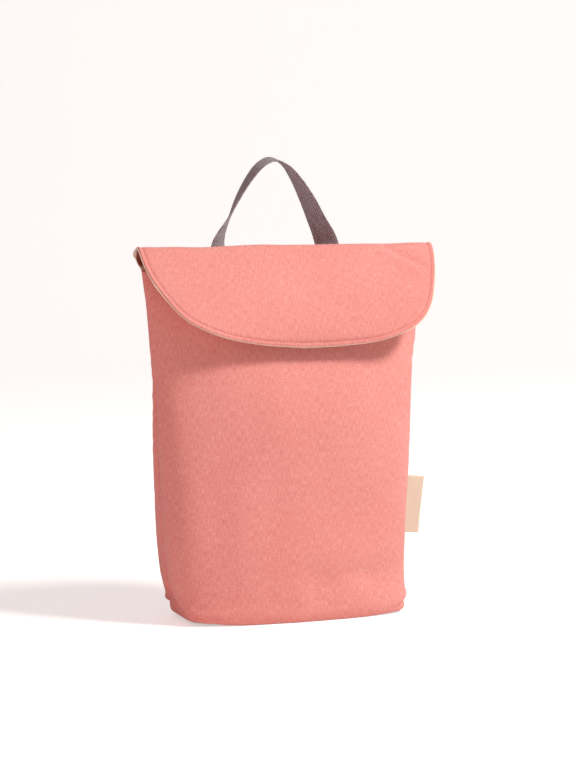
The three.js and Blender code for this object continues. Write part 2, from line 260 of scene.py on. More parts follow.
def seam_steps():
    """Places from -1 to 1 across a panel, close together at both seams."""
    even = np.linspace(-1, 1, PANEL_COLUMNS)
    return SEAM_CROWDING * np.sin(even * math.pi / 2) + EVEN_SHARE * even


def pouch_row(face, row, wall):
    """One row of a panel, from the left seam to the right, with true lengths along it."""
    height, side_tuck, face_tuck, close = row
    side_shape, face_shape = float(section(height, "side")), float(section(height, "face"))
    across, stand = outline_shares(side_shape, face_shape)
    lap = float(section(height, "lap"))
    turn_share = np.where(across < 0, LEFT_TURN_SHARE, RIGHT_TURN_SHARE)
    tuck = wall + (side_tuck - wall) * turn_share
    x = across * (pouch_half_width(height, across) - tuck + wall * lap)
    start = SEAM_GAP / 2 + lap * (CLOTH_WALL - wall)
    depth_share = float(section(height, "front" if face < 0 else "back"))
    depth = depth_share * POUCH_DEPTH / 2 - face_tuck
    y = start + (depth - start) * stand * (1 - close)
    if face < 0:
        y = y + front_swell(across, height) * stand * (1 - close)
    low = 1 - smooth_step(0, CORNER_TOP, height / MOUTH_HEIGHT)
    lift = np.where(across < 0, LEFT_CORNER_LIFT, RIGHT_CORNER_LIFT)
    z = height + lift * smooth_step(*CORNER_RISE, abs(across)) * low
    line = np.stack([x, SEAM_PLANE + face * y, z], 1)
    lengths = lengths_along(line)
    stops = lengths[-1] * (1 + seam_steps()) / 2
    return points_at(stops, lengths, line), stops - lengths[-1] / 2


def panel_rows(top, wall):
    """The rows of a panel: down the wall, round the turn and under the base."""
    rows = [(h, wall, wall, 0) for h in np.linspace(top, TURN_HEIGHT, PANEL_WALL_ROWS)]
    for angle in np.linspace(0, math.pi / 2, TURN_ROWS + 1)[1:]:
        rows.append((
            TURN_HEIGHT - (TURN_HEIGHT - wall) * math.sin(angle),
            SIDE_TURN - (SIDE_TURN - wall) * math.cos(angle),
            FACE_TURN - (FACE_TURN - wall) * math.cos(angle),
            0,
        ))
    rows += [(wall, SIDE_TURN, FACE_TURN, c) for c in np.linspace(0, 1, BASE_ROWS + 1)[1:]]
    return rows


belly = float(front_swell(np.array(0.0), np.array(100.0)))
print("the belly stands", round(belly, 1), "mm proud")

# %% [markdown]
# ## Cloth as a closed wall
#
# Each layer of cloth is made as two grids of points, its outer and its inner face, joined
# by a rim. The rim gets a middle row that stands out a little, so that a cut or folded
# edge looks round. The UV map holds real millimetres along and across the cloth, which
# lets the weave follow the cloth round every bend.

# %% Walls of cloth from two grids
RIM_ROUNDNESS = 0.35
JOIN_DISTANCE = 2e-6
SHARP_ANGLE = math.radians(55)


def grid_normals(points):
    """Unit normals of a grid of points."""
    down = np.gradient(points, axis=0)
    along = np.gradient(points, axis=1)
    normals = np.cross(along, down)
    return normals / np.maximum(np.linalg.norm(normals, axis=2, keepdims=True), 1e-9)


def grid_edge(rows, columns):
    """The grid's border as row and column numbers, once round."""
    top = [(0, c) for c in range(columns - 1)]
    right = [(r, columns - 1) for r in range(rows - 1)]
    bottom = [(rows - 1, c) for c in range(columns - 1, 0, -1)]
    left = [(r, 0) for r in range(rows - 1, 0, -1)]
    return top + right + bottom + left


def wall_mesh(name, outer, inner, uv, material):
    """A closed wall between two grids in millimetres, with a rounded rim."""
    rows, columns = outer.shape[:2]
    border = grid_edge(rows, columns)
    rim = []
    for row, column in border:
        inside_row = min(max(row, 1), rows - 2)
        inside_column = min(max(column, 1), columns - 2)
        out = outer[row, column] - outer[inside_row, inside_column]
        out = out / max(np.linalg.norm(out), 1e-6)
        thickness = np.linalg.norm(outer[row, column] - inner[row, column])
        middle = (outer[row, column] + inner[row, column]) / 2
        rim.append(middle + out * thickness * RIM_ROUNDNESS)
    points = np.concatenate([outer.reshape(-1, 3), inner.reshape(-1, 3), np.array(rim)])
    flat_uv = uv.reshape(-1, 2)
    border_uv = np.array([uv[row, column] for row, column in border])
    vertex_uv = np.concatenate([flat_uv, flat_uv, border_uv])
    number = np.arange(rows * columns).reshape(rows, columns)
    a, b = number[:-1, :-1].ravel(), number[:-1, 1:].ravel()
    c, d = number[1:, 1:].ravel(), number[1:, :-1].ravel()
    layer = rows * columns
    outside, inside = np.stack([a, d, c, b], 1), np.stack([a, b, c, d], 1) + layer
    faces = np.concatenate([outside, inside]).tolist()
    for place, (row, column) in enumerate(border):
        next_place = (place + 1) % len(border)
        here, there = number[row, column], number[border[next_place]]
        rim_here, rim_there = 2 * layer + place, 2 * layer + next_place
        faces.append([here, there, rim_there, rim_here])
        faces.append([rim_here, rim_there, there + layer, here + layer])
    return finish_mesh(name, points, faces, vertex_uv, material)


def new_object(name, data):
    """An object in the scene for a mesh, a lamp or a camera."""
    made = bpy.data.objects.new(name, data)
    bpy.context.scene.collection.objects.link(made)
    return made


def finish_mesh(name, points, faces, vertex_uv, material):
    """Makes an object in metres, joins equal points and turns its faces outwards."""
    mesh = bpy.data.meshes.new(name)
    mesh.from_pydata((points * MM).tolist(), [], faces)
    layer = mesh.uv_layers.new(name="cloth_mm")
    loops = np.empty(len(mesh.loops), int)
    mesh.loops.foreach_get("vertex_index", loops)
    layer.data.foreach_set("uv", np.asarray(vertex_uv)[loops].ravel())
    work = bmesh.new()
    work.from_mesh(mesh)
    bmesh.ops.remove_doubles(work, verts=work.verts, dist=JOIN_DISTANCE)
    bmesh.ops.recalc_face_normals(work, faces=work.faces)
    if work.calc_volume(signed=True) < 0:
        bmesh.ops.reverse_faces(work, faces=work.faces)
    work.to_mesh(mesh)
    work.free()
    mesh.polygons.foreach_set("use_smooth", [True] * len(mesh.polygons))
    mesh.set_sharp_from_angle(angle=SHARP_ANGLE)
    mesh.materials.append(material)
    print(name, len(mesh.polygons), "faces")
    return new_object(name, mesh)


def place(piece, slot, *nodes):
    """A finished piece rides on the bag's one body and stands for measured pieces."""
    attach(piece, BODY)
    if nodes:
        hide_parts(*nodes)
    return piece


# %% [markdown]
# ## Colours and a helper for material nodes
#
# Every finish is made of nodes. Colours are written as the hex values that a picture
# shows, and one function turns them to the linear values that Blender works with. One
# more function adds a node, sets it and links it.

# %% Helpers for finishes


def linear(hex_colour):
    """An sRGB hex colour as linear red, green, blue and alpha."""
    shares = [int(hex_colour[i : i + 2], 16) / 255 for i in (1, 3, 5)]
    return [s / 12.92 if s <= 0.04045 else ((s + 0.055) / 1.055) ** 2.4 for s in shares] + [1]


def add(tree, kind, inputs=None, **settings):
    """Adds a node. inputs gives a socket its value, or the output that feeds it."""
    made = tree.nodes.new(kind)
    for name, value in settings.items():
        setattr(made, name, value)
    for socket, value in (inputs or {}).items():
        if isinstance(value, bpy.types.NodeSocket):
            tree.links.new(value, made.inputs[socket])
        else:
            made.inputs[socket].default_value = value
    return made


def new_finish(name, **shader_values):
    """A material with one Principled shader, which gets the values given."""
    material = bpy.data.materials.new(name)
    material.use_nodes = True
    tree = material.node_tree
    shader = tree.nodes["Principled BSDF"]
    for socket, value in shader_values.items():
        shader.inputs[socket.replace("_", " ")].default_value = value
    return material, tree, shader


def cloth_place(tree):
    """The cloth's own coordinates in millimetres: along the weft and along the warp."""
    uv = add(tree, "ShaderNodeUVMap", uv_map="cloth_mm").outputs["UV"]
    apart = add(tree, "ShaderNodeSeparateXYZ", {0: uv})
    return uv, apart.outputs["X"], apart.outputs["Y"]


def streaks(tree, uv, width, length, detail=2.0):
    """Noise drawn out along one direction: width and length are its grain in millimetres."""
    stretch = add(tree, "ShaderNodeMapping", {"Vector": uv, "Scale": (1 / width, 1 / length, 1)})
    return add(
        tree, "ShaderNodeTexNoise",
        {"Vector": stretch.outputs[0], "Scale": 1.0, "Detail": detail, "Roughness": 0.6},
    ).outputs["Fac"]


def ribs(tree, place_mm, pitch):
    """A sine of the pitch given in millimetres, from -1 to 1."""
    turn = add(tree, "ShaderNodeMath", {0: place_mm, 1: 2 * math.pi / pitch}, operation="MULTIPLY")
    return add(tree, "ShaderNodeMath", {0: turn.outputs[0]}, operation="SINE").outputs[0]


def plain_weave(tree, across, along, pitch):
    """Threads that cross over and under each other, as a height from -1 to 1."""
    crossed = {0: ribs(tree, across, pitch), 1: ribs(tree, along, pitch)}
    return add(tree, "ShaderNodeMath", crossed, operation="MULTIPLY").outputs[0]


def blend(tree, parts):
    """The sum of patterns, each times its weight."""
    total = 0.0
    for pattern, weight in parts:
        terms = {0: pattern, 1: weight, 2: total}
        total = add(tree, "ShaderNodeMath", terms, operation="MULTIPLY_ADD").outputs[0]
    return total


def dye_and_emboss(tree, shader, pattern, stops, relief, strength, depth):
    """Colours a shader by a pattern, from shares with hex colours, and gives it a relief."""
    dyed = add(tree, "ShaderNodeValToRGB", {"Fac": pattern})
    elements = dyed.color_ramp.elements
    while len(elements) < len(stops):
        elements.new(1.0)
    for element, (share, hex_colour) in zip(elements, stops):
        element.position = share
        element.color = linear(hex_colour)
    bump = add(tree, "ShaderNodeBump", {"Height": relief, "Strength": strength, "Distance": depth})
    tree.links.new(dyed.outputs["Color"], shader.inputs["Base Color"])
    tree.links.new(bump.outputs[0], shader.inputs["Normal"])
    return dyed.outputs["Color"]


# %% [markdown]
# ## The pink cloth
#
# The cloth is a plain weave of polyester yarns spun from lighter and darker pink fibres,
# which is called a melange. To the eye that gives short light and dark flecks along both
# thread directions, over one soft coral. The real threads lie about 0.45 mm apart, finer
# than a pixel of the render, so the weave is drawn at 0.8 mm, and a fleck is 0.6 mm wide.

# %% Pink melange plain weave
THREAD_PITCH = 0.8
FLECK_WIDTH = 0.6
FLECK_LENGTH = 4.0
GRAIN_SIZE = 0.5
CLOUD_SCALE = 22.0
PINK_STOPS = [(0.33, "#DE7F78"), (0.50, "#EE9A92"), (0.67, "#FABBB3")]


def pink_melange():
    material, tree, shader = new_finish(
        "pink_melange_plain_weave",
        Roughness=0.88, Specular_IOR_Level=0.25, Sheen_Weight=0.18, Sheen_Roughness=0.5,
    )
    uv, across, along = cloth_place(tree)
    warp = streaks(tree, uv, FLECK_WIDTH, FLECK_LENGTH)
    weft = streaks(tree, uv, FLECK_LENGTH, FLECK_WIDTH)
    grain = streaks(tree, uv, GRAIN_SIZE, GRAIN_SIZE, detail=3.0)
    where = add(tree, "ShaderNodeTexCoord").outputs["Object"]
    cloud = add(tree, "ShaderNodeTexNoise", {"Vector": where, "Scale": CLOUD_SCALE, "Detail": 2.0})
    parts = [(warp, 0.42), (weft, 0.24), (grain, 0.24), (cloud.outputs["Fac"], 0.10)]
    weave = plain_weave(tree, across, along, THREAD_PITCH)
    relief = blend(tree, [(weave, 0.5), (warp, 1.2)])
    dye_and_emboss(tree, shader, blend(tree, parts), PINK_STOPS, relief, 0.35, 0.0002)
    return material


pink_cloth = pink_melange()
print("made", pink_cloth.name)

# %% [markdown]
# ## The other materials
#
# The flap is lined with a smooth coated cream cloth. Deep in the roll it only gets light
# that came off the pink cloth, so a painted brown shade is mixed into the lining's colour
# where the lining carries the value in_roll; the cloth itself is cream there too. The handle
# is a grey twill webbing: its yarns run in slanting ribs about 1.6 mm apart, with light and
# dark filaments mixed. The tape is a cream narrow weave with fine cross ribs.

# %% Cream lining, webbing, tape and thread
LINING_PITCH = 0.7
LINING_STOPS = [(0.30, "#F6DAC6"), (0.70, "#FDEADB")]
# ROLL_SHADE is painted shade: the colour the lining is given deep in the roll, where little light gets
# in
ROLL_SHADE = "#8A3A2C"
RIB_PITCH = 1.6
RIB_FOLD = 2.5
WEBBING_STOPS = [(0.32, "#5A4F55"), (0.50, "#918890"), (0.70, "#C9C2C5")]
TAPE_PITCH = 0.6
TAPE_STOPS = [(0.25, "#EAD3BC"), (0.75, "#F4E4D1")]


def cream_lining_finish():
    material, tree, shader = new_finish("cream_coated_lining", Roughness=0.62, Specular_IOR_Level=0.35)
    uv, across, along = cloth_place(tree)
    patches = streaks(tree, uv, 9, 14)
    weave = plain_weave(tree, across, along, LINING_PITCH)
    cream = dye_and_emboss(tree, shader, patches, LINING_STOPS, weave, 0.25, 0.0001)
    # Painted shade: the lining's colour is mixed towards ROLL_SHADE by in_roll, deep in the roll
    deep = add(tree, "ShaderNodeAttribute", attribute_name="in_roll").outputs["Fac"]
    colours = {0: deep, 6: cream, 7: linear(ROLL_SHADE)}
    shaded = add(tree, "ShaderNodeMix", colours, data_type="RGBA")
    tree.links.new(shaded.outputs[2], shader.inputs["Base Color"])
    return material


def webbing_finish():
    """Twill webbing: slanting ribs that lean the other way on each half of the band."""
    material, tree, shader = new_finish(
        "grey_twill_webbing",
        Roughness=0.8, Specular_IOR_Level=0.3, Sheen_Weight=0.15, Sheen_Roughness=0.5,
    )
    uv, across, along = cloth_place(tree)
    folded = add(tree, "ShaderNodeMath", {0: across, 1: RIB_FOLD}, operation="PINGPONG")
    leaning = add(tree, "ShaderNodeMath", {0: folded.outputs[0], 1: along}, operation="ADD")
    slant = ribs(tree, leaning.outputs[0], RIB_PITCH)
    flecks = streaks(tree, uv, 0.45, 1.3, detail=3.0)
    slow = streaks(tree, uv, 2.5, 7.0)
    mixed = blend(tree, [(slant, 0.18), (flecks, 0.72), (slow, 0.28)])
    dye_and_emboss(tree, shader, mixed, WEBBING_STOPS, mixed, 0.6, 0.0005)
    return material


def tape_finish():
    material, tree, shader = new_finish("cream_woven_tape", Roughness=0.75, Specular_IOR_Level=0.3)
    uv, _, along = cloth_place(tree)
    patches = streaks(tree, uv, 0.6, 1.0)
    dye_and_emboss(tree, shader, patches, TAPE_STOPS, ribs(tree, along, TAPE_PITCH), 0.4, 0.00012)
    return material


def thread_finish(name, colour):
    return new_finish(name, Base_Color=linear(colour), Roughness=0.7, Specular_IOR_Level=0.35)[0]


cream_lining = cream_lining_finish()
grey_webbing = webbing_finish()
cream_tape = tape_finish()
pink_thread = thread_finish("pink_sewing_thread", "#DB756E")
grey_thread = thread_finish("grey_sewing_thread", "#9C9297")
print("made", [m.name for m in bpy.data.materials if m.use_nodes])

# %% [markdown]
# ## The front and back panels
#
# Each panel is one piece of cloth that goes down the face, round the bottom edge and on
# to the middle of the base. The fine mesh follows the measured sections, and a small
# displacement adds what sewing and use do to cloth: slow undulations all over, short
# puckers that run out from the side seams, the valley of the side seams, and the seam
# across each boxed corner. All of it moves both faces of the wall by the same amount.

# %% Panels of the pouch
FRONT_SEED = 3.1
BACK_SEED = 11.7
SEAM_DIP = 1.9
SEAM_DIP_WIDTH = 1.0
SEAM_HOLLOW = 0.6
SEAM_HOLLOW_WIDTH = 4.5
PUCKER_REACH = 9.0
PUCKER_STRETCH = 0.15
# Where the cloth is free to move: above the base's turn, off the seam and below the mouth,
# in millimetres, and the shares of the height between which the seam's valley closes
ON_WALL = (2.0, 14.0)
OFF_SEAM = (0.0, 6.0)
BELOW_MOUTH = (0.0, 5.0)
VALLEY_CLOSES = (0.60, 0.80)
# Waves of the cloth: upright draws them out upwards when it is below 1, grain is their
# size and height is how far they swell, both in millimetres
SLOW_WAVES = {"upright": 0.55, "grain": 34.0, "height": 0.90, "seed": 0}
DRAPE_WAVES = {"upright": 0.28, "grain": 17.0, "height": 0.40, "seed": 7}
FINE_WAVES = {"upright": 1.0, "grain": 7.0, "height": 0.10, "seed": 3}
PUCKER_WAVES = {"upright": 1.0, "grain": 4.2, "height": 0.75, "seed": 0}
# The crease of a boxed corner: distance from the seam plane, and height, in millimetres
CORNER_CREASE = [(1.5, 27.0), (6.5, 17.0), (13.8, 12.0), (24.4, 7.5), (31.5, 2.0)]
CREASE_LIP = 0.8
CREASE_DEPTH = 2.0
CREASE_HOLLOW = 1.9


def waves(points, kind, seed=0):
    """Smooth waves of one kind over a grid of points, as heights in millimetres."""
    drawn = points * (1, 1, kind["upright"])
    flat = drawn.reshape(-1, 3) / kind["grain"] + (seed + kind["seed"])
    values = np.array([noise.noise(Vector(p)) for p in flat.tolist()])
    return values.reshape(points.shape[:-1]) * kind["height"]


def distance_to(points, line):
    """The distance from each point to the nearest of a dense line of points."""
    flat = points.reshape(-1, 3)
    nearest = np.full(len(flat), 1e9)
    for first in range(0, len(flat), 4000):
        part = flat[first : first + 4000]
        gaps = ((part[:, None, :] - line[None, :, :]) ** 2).sum(2)
        nearest[first : first + 4000] = np.sqrt(gaps.min(1))
    return nearest.reshape(points.shape[:-1])


def panel_grid(face, top, wall):
    """The grid of a panel at a depth in its wall, and the lengths along each of its rows."""
    rows = [pouch_row(face, row, wall) for row in panel_rows(top, wall)]
    return np.array([points for points, _ in rows]), np.array([length for _, length in rows])


def panel_grids(face, top):
    """Outer and inner grid of a panel, its UV map in millimetres and its normals."""
    outer, from_middle = panel_grid(face, top, 0.0)
    inner, _ = panel_grid(face, top, CLOTH_WALL)
    down = lengths_along(outer[:, PANEL_COLUMNS // 2])
    uv = np.stack([from_middle, np.broadcast_to(-down[:, None], from_middle.shape)], 2)
    normals = grid_normals(outer)
    if (normals[:, :, 1] * face).mean() < 0:
        normals = -normals
    return outer, inner, uv, normals


def panel_displacement(face, outer, uv, seed):
    """How far the cloth lies outside (or inside, below 0) the measured form."""
    half = np.abs(uv[:, :, 0]).max(axis=1, keepdims=True)
    to_seam = half - np.abs(uv[:, :, 0])
    height = outer[:, :, 2]
    on_wall = smooth_step(*ON_WALL, height)
    off_seam = smooth_step(*OFF_SEAM, to_seam)
    free = off_seam * smooth_step(*BELOW_MOUTH, MOUTH_HEIGHT - height)
    slow, drape = waves(outer, SLOW_WAVES, seed), waves(outer, DRAPE_WAVES, seed)
    push = (slow + drape) * on_wall * free + waves(outer, FINE_WAVES, seed) * free
    level = np.full(height.shape, seed)
    running_out = np.stack([level, uv[:, :, 0] * PUCKER_STRETCH, uv[:, :, 1]], 2)
    pucker = waves(running_out, PUCKER_WAVES, seed) * hill(to_seam, PUCKER_REACH)
    push += pucker * on_wall * smooth_step(0.6, 3.0, to_seam)
    open_seam = on_wall * (1 - smooth_step(*VALLEY_CLOSES, height / MOUTH_HEIGHT))
    push -= SEAM_DIP * hill(to_seam, SEAM_DIP_WIDTH) * open_seam
    push -= SEAM_HOLLOW * hill(to_seam, SEAM_HOLLOW_WIDTH) * open_seam
    return push


def corner_crease(outer, uv):
    """The folded corner: a sharp valley from the side seam to the base, hollow below it."""
    crease = np.array(CORNER_CREASE)
    flat = np.stack([abs(outer[:, :, 1] - SEAM_PLANE), outer[:, :, 2], 0 * outer[:, :, 2]], 2)
    line = even_line(np.concatenate([crease, np.zeros((len(crease), 1))], 1), 0.3)
    away = distance_to(flat, line)
    below = flat[:, :, 1] < np.interp(flat[:, :, 0], crease[:, 0], crease[:, 1])
    half = np.abs(uv[:, :, 0]).max(axis=1, keepdims=True)
    near = smooth_step(0.60, 0.74, np.abs(uv[:, :, 0]) / half) * (outer[:, :, 2] < 40)
    near = near * smooth_step(0.0, 2.0, outer[:, :, 2])
    hollow = below * smooth_step(0.0, 1.6, away) * (1 - smooth_step(4.0, 11.0, away))
    hollow = hollow * smooth_step(2.0, 9.0, outer[:, :, 2])
    lip = (1 - below) * hill(away - 2.2, 1.6)
    return near * (CREASE_LIP * lip - CREASE_DEPTH * hill(away, 1.0) - CREASE_HOLLOW * hollow)


# Folds of the front as lines of (x, height), with a depth and a width, in millimetres
FRONT_FOLDS = [
    ([(20, 25), (30, 30), (40, 30), (55, 19)], 0.55, 5.0),
    ([(-64, 92), (-62, 70), (-59, 48)], 0.35, 6.0),
    ([(2, 32), (6, 20), (4, 10)], 0.45, 5.0),
    ([(-50, 12), (-24, 15), (-6, 9)], 0.4, 4.0),
]


def front_folds(outer):
    """The longer folds of the soft front, where it leans on itself near the base."""
    flat = outer * (1, 0, 1)
    push = np.zeros(outer.shape[:2])
    for line, depth, width in FRONT_FOLDS:
        fold = even_line(np.array([(x, 0, z) for x, z in line], float), 1.0)
        away = distance_to(flat, fold)
        push -= depth * (hill(away, width) - 0.2 * hill(away - 2 * width, width))
    return push


def make_panel(name, face, top, seed):
    outer, inner, uv, normals = panel_grids(face, top)
    push = panel_displacement(face, outer, uv, seed) + corner_crease(outer, uv)
    if face < 0:
        push += front_folds(outer)
    shift = normals * push[:, :, None]
    return wall_mesh(name, outer + shift, inner + shift, uv, pink_cloth)


front_panel = make_panel("front_panel_cloth", -1, reach("front_panel", 1, 2), FRONT_SEED)
back_panel = make_panel("back_panel_cloth", 1, SEAM_HEIGHT, BACK_SEED)
place(front_panel, "pink_cloth", "front_panel")
place(back_panel, "pink_cloth", "back_panel")

# %% [markdown]
# ## The hem of the mouth
#
# The front's top edge is turned in as a narrow hem of the same pink cloth. The flap hides
# it, and it can be seen from the side, between the flap and the front.

# %% Hem of the mouth
HEM_ROWS = 9


def make_hem():
    heights = MOUTH_HEIGHT - HEM_HEIGHT * np.linspace(0, 1, HEM_ROWS)
    grids = []
    for tuck in (CLOTH_WALL - HEM_WALL, CLOTH_WALL):
        rows = [pouch_row(-1, (h, tuck, tuck, 0), max(tuck, 0.0)) for h in heights]
        grids.append(np.array([points for points, _ in rows]))
        from_middle = np.array([length for _, length in rows])
    uv = np.stack([from_middle, np.broadcast_to(heights[:, None], from_middle.shape)], 2)
    return wall_mesh("mouth_hem_cloth", grids[0], grids[1], uv, pink_cloth)


mouth_hem = place(make_hem(), "pink_cloth", "mouth_hem")

# %% [markdown]
# ## The flap
#
# The flap starts at a seam on the back, rises, rolls over forward and hangs on the front.
# Its pink face and its cream lining are two layers that are sewn together round the edge,
# so the lining's edge shows as a thin cream line. along runs from -1 at the back seam,
# through 0 at the fold, to 1 at the free edge, and across from -1 to 1. The tables are
# those of the measured model. A little smoothing rounds the ridge of the fold.

# %% Form of the flap
FOLD_WIDTH = 200
FOLD_SHIFT = 1.5
FOLD_BACK = 4
ROLL_BEHIND = 9.5
FLAP_STANDOFF = 10
FLAP_WALL = 1.1
LINING_WALL = 1.0
LINING_GAP = 0.45
LINING_RIM = 0.8
SEWN_FLAP_WALL = 0.65
SEWN_LINING_WALL = 0.45
SEWN_GAP = 0.12
RIM_REACH = 9
FLAP_EDGE_TAPER = 0.94
ROLL_STEPS = 70
FLAP_STEPS = 130
FLAP_COLUMNS = 190
COLUMN_CROWDING = 0.96
FOLD_ROUNDS = 26
FOLD_REACH = 14.0
ONTO_BACK = (0.46, 0.66)
ROLL = ("drop", "centre", "end", "pinch")
ROLL_ROWS = [
    (0.00, 0.00, 0.00, 0.35),
    (0.08, 0.50, 0.58, 0.35),
    (0.20, 0.78, 0.88, 0.35),
    (0.34, 0.93, 0.86, 0.35),
    (0.50, 1.00, 0.30, 0.45),
    (0.60, 1.00, -0.15, 0.60),
]
FLAP = ("drop", "forward")
FLAP_ROWS = [
    (0.00, 0.00), (0.04, 0.12), (0.22, 0.34), (0.39, 0.55), (0.52, 0.73),
    (0.65, 0.85), (0.76, 0.94), (0.89, 1.00), (1.00, 0.98),
]
EDGE = ("across", "left", "right")
EDGE_ROWS = [
    (0.00, 1.00, 1.00), (0.30, 0.96, 0.99), (0.56, 0.88, 0.95), (0.77, 0.75, 0.84),
    (0.87, 0.64, 0.74), (0.94, 0.51, 0.61), (1.00, 0.36, 0.42),
]
edge_height = np.array(FOLD_HEIGHT - FLAP_DROP)
FLAP_REACH = FOLD_BACK + float(section(edge_height, "front")) * POUCH_DEPTH / 2 + FLAP_STANDOFF
FLAP_REACH += float(front_swell(np.array(0.0), edge_height))


def roll_half_width(height, hand):
    share = np.clip((height - MOUTH_HEIGHT) / (FOLD_HEIGHT - MOUTH_HEIGHT), 0, 1)
    above = MOUTH_WIDTH / 2 + (FOLD_WIDTH / 2 + hand * FOLD_SHIFT - MOUTH_WIDTH / 2) * share
    below = pouch_half_width(np.minimum(height, MOUTH_HEIGHT) + 0 * hand, hand)
    return np.where(height <= MOUTH_HEIGHT, below, above)


def back_reach(across, height):
    """How far the back stands from the seam plane, where the flap follows the pouch."""
    start = SEAM_GAP / 2 + CLOTH_WALL
    stand = (1 - across**2).clip(0) ** (section(height, "face") / 2)
    return start + (section(height, "back") * POUCH_DEPTH / 2 - start) * stand


def flap_row(across, along, rim):
    """One row of the flap's outer face."""
    hand = np.where(across < 0, -1, 1)
    side_rim = rim * across**RIM_REACH
    if along <= 0:
        depth = FOLD_HEIGHT - SEAM_HEIGHT - SEAM_GAP
        height = np.array(FOLD_HEIGHT + depth * along)
        share = np.array(-along)
        pinch = (1 - across**2).clip(0) ** read(ROLL, ROLL_ROWS, share, "pinch")
        end, centre = read(ROLL, ROLL_ROWS, share, "end"), read(ROLL, ROLL_ROWS, share, "centre")
        rolled = FOLD_BACK + (end + (centre - end) * pinch) * ROLL_BEHIND
        onto_back = smooth_step(*ONTO_BACK, share)
        y = rolled + (back_reach(across, height) - rolled) * onto_back
        x = across * roll_half_width(height, hand) + side_rim
        return np.stack([x, SEAM_PLANE + y, height + 0 * x], 1)
    left, right = (read(EDGE, EDGE_ROWS, abs(across), side) for side in ("left", "right"))
    drop = along * np.where(hand < 0, left, right) * FLAP_DROP + rim * along**RIM_REACH
    half = (FOLD_WIDTH / 2 + hand * FOLD_SHIFT) * (1 + (FLAP_EDGE_TAPER - 1) * along**2)
    forward = read(FLAP, FLAP_ROWS, drop / FLAP_DROP, "forward") * FLAP_REACH
    x = across * half + side_rim
    return np.stack([x, SEAM_PLANE + FOLD_BACK - forward, FOLD_HEIGHT - drop], 1)


def soften_fold(grid):
    """Rounds the ridge of the fold, and leaves the rest of the grid as it is."""
    fold = ROLL_STEPS - (ROLL_STEPS + FLAP_STEPS + 1 - len(grid))
    near = np.exp(-(((np.arange(len(grid)) - fold) / FOLD_REACH) ** 4))[1:-1, None, None]
    for _ in range(FOLD_ROUNDS):
        mean = (grid[:-2] + grid[2:]) / 2
        grid[1:-1] += near * 0.5 * (mean - grid[1:-1])
    return grid


def flap_face(first_step, rim):
    """The flap's outer face as a grid, from a step of the roll to the free edge."""
    places = [step / ROLL_STEPS - 1 for step in range(first_step, ROLL_STEPS)]
    places += [step / FLAP_STEPS for step in range(FLAP_STEPS + 1)]
    across = np.sin(np.linspace(-math.pi / 2, math.pi / 2, FLAP_COLUMNS) * COLUMN_CROWDING)
    across = across / across[-1]
    return soften_fold(np.array([flap_row(across, along, rim) for along in places]))


# %% [markdown]
# ## What sewing and hanging do to the flap
#
# The top-stitching runs 2.5 mm inside the edge. It presses a groove into the two layers,
# and the cloth swells a little on both sides of it, with small puckers between stitches.
# A slanting crease near the right end of the fold comes from the roll, and slow waves
# keep the flap from looking like card. Both faces of both layers move by the same amount,
# so that the layers never cross.

# %% Displacement and layers of the flap
STITCH_INSET = 2.5
CREASE_FROM = (66.0, 240.0)
CREASE_TO = (95.0, 224.0)
GROOVE_DEPTH = 0.42
GROOVE_WIDTH = 0.75
HANGING_PUCKER = 0.22
ROLLED_PUCKER = 0.06
FLAP_SLOW_WAVES = {"upright": 0.7, "grain": 42.0, "height": 0.95, "seed": 21.3}
FLAP_DRAPE_WAVES = {"upright": 0.45, "grain": 19.0, "height": 0.35, "seed": 5.9}
FLAP_FINE_WAVES = {"upright": 1.0, "grain": 6.5, "height": 0.08, "seed": 8.2}
FLAP_PUCKER_WAVES = {"upright": 1.0, "grain": 3.6, "height": 1.0, "seed": 2.4}


def free_edge(grid):
    """The flap's sewn edge: down the left side, along the bottom and up the right side."""
    return np.concatenate([grid[:, 0], grid[-1, 1:-1], grid[::-1, -1]])


def flap_displacement(grid, inside):
    """How far the flap lies outside the measured form; inside is the way from its edge."""
    free = smooth_step(0.0, 9.0, inside)
    push = waves(grid, FLAP_SLOW_WAVES) * free
    push += waves(grid, FLAP_DRAPE_WAVES) * free
    push += waves(grid, FLAP_FINE_WAVES)
    hanging = (np.arange(len(grid)) >= ROLL_STEPS)[:, None]
    pucker = waves(grid, FLAP_PUCKER_WAVES) * np.where(hanging, HANGING_PUCKER, ROLLED_PUCKER)
    push += pucker * hill(inside - STITCH_INSET, 3.0) * smooth_step(0.0, 1.5, inside)
    push -= GROOVE_DEPTH * hill(inside - STITCH_INSET, GROOVE_WIDTH)
    start, end = np.array(CREASE_FROM), np.array(CREASE_TO)
    way = (end - start) / np.linalg.norm(end - start)
    offset = grid[:, :, [0, 2]] - start
    along = offset @ way
    beside = offset @ np.array([-way[1], way[0]])
    within = smooth_step(-6, 6, along) * (1 - smooth_step(22, 40, along))
    on_front = (grid[:, :, 1] < SEAM_PLANE + FOLD_BACK - 1) * 1.0
    crease = hill(beside, 2.6) - 0.7 * hill(beside + 5.0, 3.4)
    return push - crease * within * on_front


def cloth_uv(grid):
    """Real lengths across each row and down the middle column."""
    steps = np.linalg.norm(np.diff(grid, axis=1), axis=2)
    across = np.concatenate([np.zeros((len(grid), 1)), np.cumsum(steps, axis=1)], 1)
    across -= across[:, [across.shape[1] // 2]]
    down = -lengths_along(grid[:, grid.shape[1] // 2])
    return np.stack([across, np.broadcast_to(down[:, None], across.shape)], 2)


flap_grid = flap_face(0, 0.0)
inside_edge = distance_to(flap_grid, even_line(free_edge(flap_grid), 0.8))
loose = smooth_step(0.5, 5.0, inside_edge)[:, :, None]
flap_push = flap_displacement(flap_grid, inside_edge)
into_bag = grid_normals(flap_grid)
flap_wall = SEWN_FLAP_WALL + (FLAP_WALL - SEWN_FLAP_WALL) * loose
flap_outside = flap_grid - into_bag * flap_push[:, :, None]
flap_outer = wall_mesh(
    "flap_cloth", flap_outside, flap_outside + into_bag * flap_wall, cloth_uv(flap_grid), pink_cloth,
)
place(flap_outer, "pink_cloth", "flap_outer")

